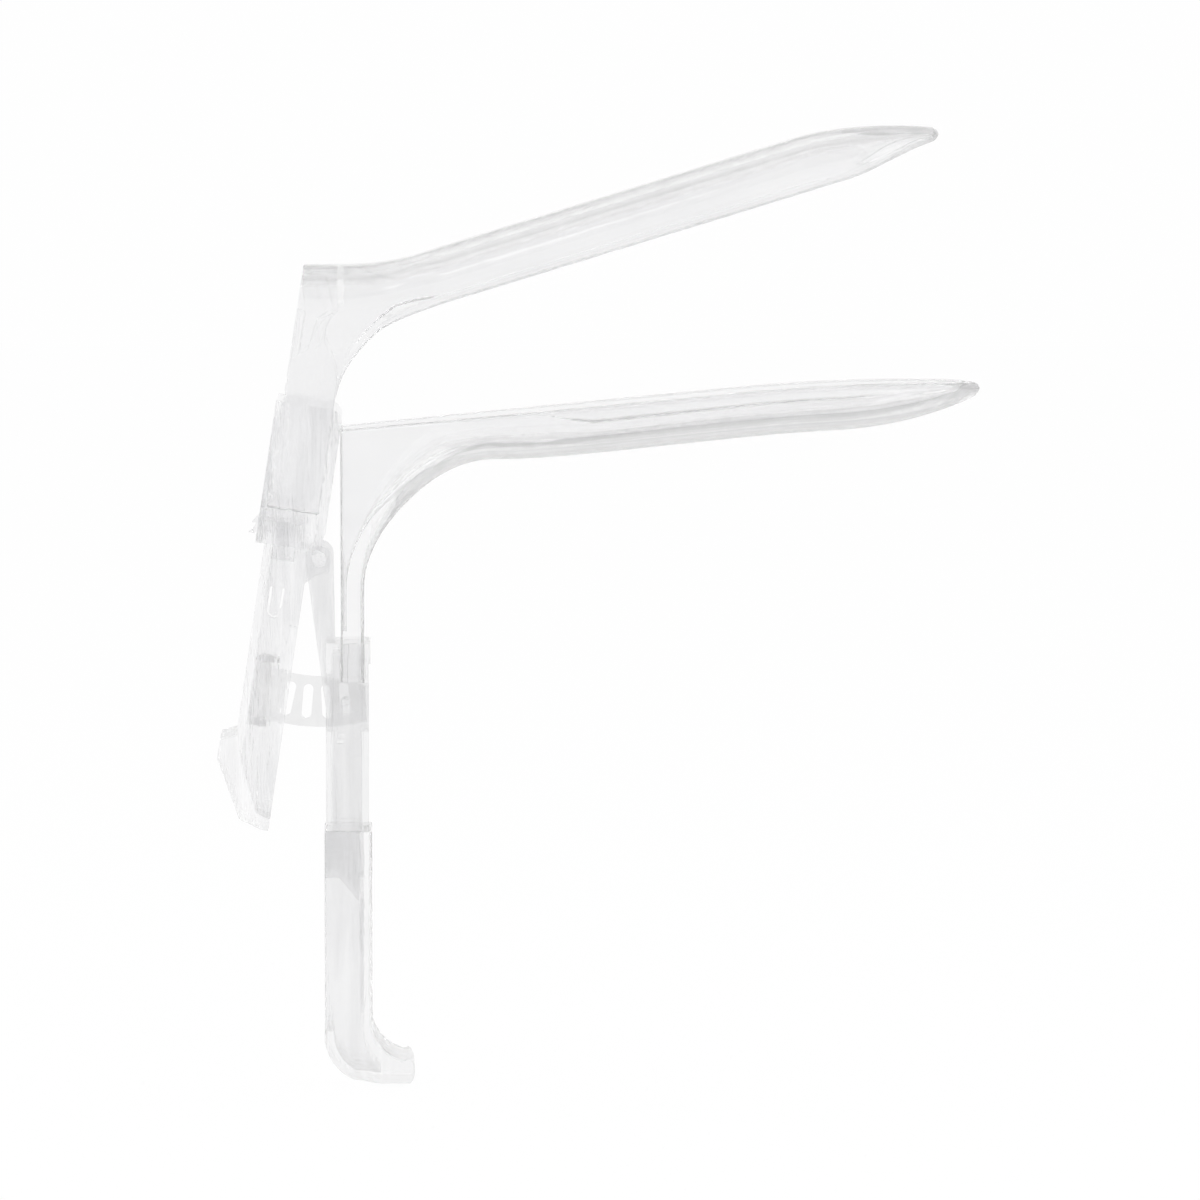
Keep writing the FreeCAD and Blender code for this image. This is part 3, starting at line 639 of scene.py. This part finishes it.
def rack_side():
    """The side outline of what the rack's notches cut away behind the legs."""
    side = [leaned(LEG_REAR - RACK_BEHIND, RACK_LOW)]
    for step in range(NOTCHES):
        u = NOTCH_FROM + NOTCH_PITCH * step
        side += [leaned(LEG_REAR - NOTCH_CLEAR, u - NOTCH_HALF), leaned(LEG_REAR + NOTCH_DEPTH, u),
                 leaned(LEG_REAR - NOTCH_CLEAR, u + NOTCH_HALF)]
    side.append(leaned(LEG_REAR - RACK_BEHIND, RACK_HIGH))
    return side


def crown_web():
    """The web across the inside of the crown, between the legs."""
    depth = WEB_DEPTH - WEB_INSIDE
    solid = (2 * LEG_OUTER - 2 * WEB_INSIDE, depth, BLADE_ROUND - WEB_INSIDE, WEB_EDGE, depth)
    return skinned("web", [outline((x, UPPER_TOP - WEB_INSIDE), (0, -1), *solid)
                           for x in (WEB_REAR, WEB_FRONT)])


def upper_blade():
    """The upper blade with its rails and bands joined on, its web, and the racks cut."""
    blade = skinned("upper_blade_shell", upper_outlines())
    for sign in (1, -1):
        for side, outer in ((rail_side(), RAIL_OUTER), (band_side(), LEG_OUTER + BAND_PROUD)):
            low, high = sorted((sign * (LEG_OUTER - RAIL_JOIN), sign * outer))
            combined(blade, softened(plate("rail", side, low, high)), "UNION")
    combined(blade, crown_web(), "UNION")
    combined(blade, plate("rack", rack_side(), -RACK_HALF, RACK_HALF), "DIFFERENCE")
    return blade


def blades():
    """Smooth blades in place of the CAD ones, on the same sizes."""
    lower = skinned("lower_blade_shell", stem_outlines() + throat_outlines() + channel_outlines())
    made = ((lower, "lower_blade", "handle"), (upper_blade(), "upper_blade", "upper"))
    for piece, node, body in made:
        shade(piece)
        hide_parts(node)
        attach(piece, body)
    return [piece for piece, node, body in made]


def camera():
    """The photograph's point of view."""
    data = bpy.data.cameras.new("photo_camera")
    data.lens = LENS
    data.sensor_width = SENSOR
    reach = VIEW_WIDTH * LENS / SENSOR
    back = Vector((math.sin(PHOTO_AZIMUTH) * math.cos(PHOTO_ELEVATION),
                   -math.cos(PHOTO_AZIMUTH) * math.cos(PHOTO_ELEVATION),
                   math.sin(PHOTO_ELEVATION)))
    made = bpy.data.objects.new("photo_camera", data)
    made.location = AIM + back * reach
    made.rotation_mode = "QUATERNION"
    made.rotation_quaternion = (-back).to_track_quat("-Z", "Y")
    data.clip_start = NEAREST_SEEN
    data.clip_end = FARTHEST_SEEN
    bpy.context.scene.collection.objects.link(made)
    bpy.context.scene.camera = made


def dark_strips(tree, direction, near, far):
    """How much darker the room is: 0 ahead, behind and to both sides, up to 1 in its four corners."""
    x, y = (tree.node("ShaderNodeSeparateXYZ", None, {0: direction}, output=axis) for axis in ("X", "Y"))
    across, ahead = x * x, y * y
    whole = across + ahead
    strip = across * ahead * 4 / (whole * whole)
    fade = tree.node("ShaderNodeMapRange", {"interpolation_type": "SMOOTHSTEP"},
                     {"Value": whole, "From Min": near, "From Max": far})
    return strip * strip * fade


def seen_level(tree, direct_level, through_level):
    """One level for the camera, another for what shows by reflection or through the plastic.

    Gives the masks of both, and the level that they make together.
    """
    direct = tree.node("ShaderNodeLightPath", output="Is Camera Ray")
    gloss = tree.node("ShaderNodeLightPath", output="Is Glossy Ray")
    through = tree.node("ShaderNodeLightPath", output="Is Transmission Ray")
    bent = tree.node("ShaderNodeMath", {"operation": "MAXIMUM"}, {0: gloss, 1: through})
    bent = bent * (1 - direct)
    return direct, bent, direct * direct_level + bent * through_level


def floor():
    """A white floor that shows only a trace of the object's shadow."""
    mesh = bpy.data.meshes.new("floor")
    corners = [(x * FLOOR_HALF, y * FLOOR_HALF, 0) for x, y in ((-1, -1), (1, -1), (1, 1), (-1, 1))]
    mesh.from_pydata(corners, [], [(0, 1, 2, 3)])
    made = new_piece("floor", mesh)
    made.location.z = -FLOOR_BELOW
    material = bpy.data.materials.new("white_floor")
    tree = Tree(material)
    place = tree.node("ShaderNodeTexCoord", output="Object")
    strips = dark_strips(tree, place, *FLOOR_STRIP_FADE)
    direct, bent, level = seen_level(tree, FLOOR_LEVEL, THROUGH_LEVEL - strips * STRIP_DEPTH)
    white = tree.node("ShaderNodeMix", {"data_type": "RGBA"}, {0: level, 6: BLACK, 7: WHITE}, output=2)
    paint = tree.node("ShaderNodeBsdfDiffuse", None, {"Color": FLOOR_COLOUR})
    glow = tree.node("ShaderNodeEmission", None, {"Color": white, "Strength": 1.0})
    surface = tree.node("ShaderNodeMixShader", None,
                        {0: (direct + bent) * FLOOR_OWN_LIGHT, 1: paint, 2: glow})
    tree.node("ShaderNodeOutputMaterial", None, {"Surface": surface})
    mesh.materials.append(material)


def surroundings():
    """A white room with four softly darker corners, and a little darker overhead."""
    world = bpy.data.worlds.new("white_room")
    bpy.context.scene.world = world
    tree = Tree(world)
    ray = tree.node("ShaderNodeTexCoord", output="Generated")
    height = tree.node("ShaderNodeSeparateXYZ", None, {0: ray}, output="Z")
    band = tree.node("ShaderNodeMapRange", {"interpolation_type": "SMOOTHSTEP"},
                     {"Value": height, "From Min": OVERHEAD_FADE[0], "From Max": OVERHEAD_FADE[1],
                      "To Min": THROUGH_LEVEL, "To Max": THROUGH_TOP})
    strips = dark_strips(tree, ray, *WALL_STRIP_FADE)
    direct, bent, level = seen_level(tree, BACKDROP_LEVEL, band - strips * STRIP_DEPTH)
    level = level + (1 - direct - bent) * WORLD_LEVEL
    back = tree.node("ShaderNodeBackground", None, {"Color": WHITE, "Strength": level})
    tree.node("ShaderNodeOutputWorld", None, {"Surface": back})


def lamp(name, place, side, power):
    """A square lamp, turned towards the object."""
    data = bpy.data.lights.new(name, "AREA")
    data.shape = "SQUARE"
    data.size = side
    data.energy = power
    made = bpy.data.objects.new(name, data)
    made.location = place
    made.rotation_mode = "QUATERNION"
    made.rotation_quaternion = (AIM - Vector(place)).to_track_quat("-Z", "Y")
    bpy.context.scene.collection.objects.link(made)


def plastics():
    """The clear plastic of each node, by the node's name."""
    blade = clear_plastic("polished_clear", light=0.972, dark=0.938, roughness=0.005, haze=0.01,
                          grain=(7, 110, 110), ripple_depth=0.015, plain_share=0.33)
    moving = clear_plastic("frame_clear", light=1.0, dark=0.885, roughness=0.005, haze=0.02,
                           grain=(540, 540, 55), ripple_depth=0.4, plain_share=0.22)
    handle = clear_plastic("hazy_clear", light=0.962, dark=0.87, roughness=0.05, haze=0.06,
                           grain=(420, 420, 40), ripple_depth=0.3, plain_share=0.35)
    grip = clear_plastic("grip_clear", light=0.975, dark=0.88, roughness=0.07, haze=0.07,
                         grain=(380, 380, 35), ripple_depth=0.25, plain_share=0.35)
    strap = clear_plastic("strap_clear", light=0.935, dark=0.84, roughness=0.03, haze=0.04,
                          grain=(300, 300, 200), ripple_depth=0.15, plain_share=0.6)
    return {"lower_blade": blade, "upper_blade": blade, "yoke_frame": moving, "height_catches": moving,
            "thumb_lever": moving, "handle_body": handle, "grip_shell": grip, "ratchet_strap": strap}


def coated(piece, plastic):
    piece.data.materials.clear()
    piece.data.materials.append(plastic)


bpy.context.scene.view_settings.view_transform = "Standard"
camera()
floor()
surroundings()
lamp("high_left", place=(-0.5, -0.7, 0.8), side=0.6, power=3.0)
lamp("low_right", place=(0.8, -0.5, 0.35), side=0.5, power=1.5)
shells = blades()
finish = plastics()
for part in frame["record"]["subparts"]:
    coated(frame["nodes"][part["node"]], finish[part["node"]])
for shell in shells:
    coated(shell, finish["upper_blade"])
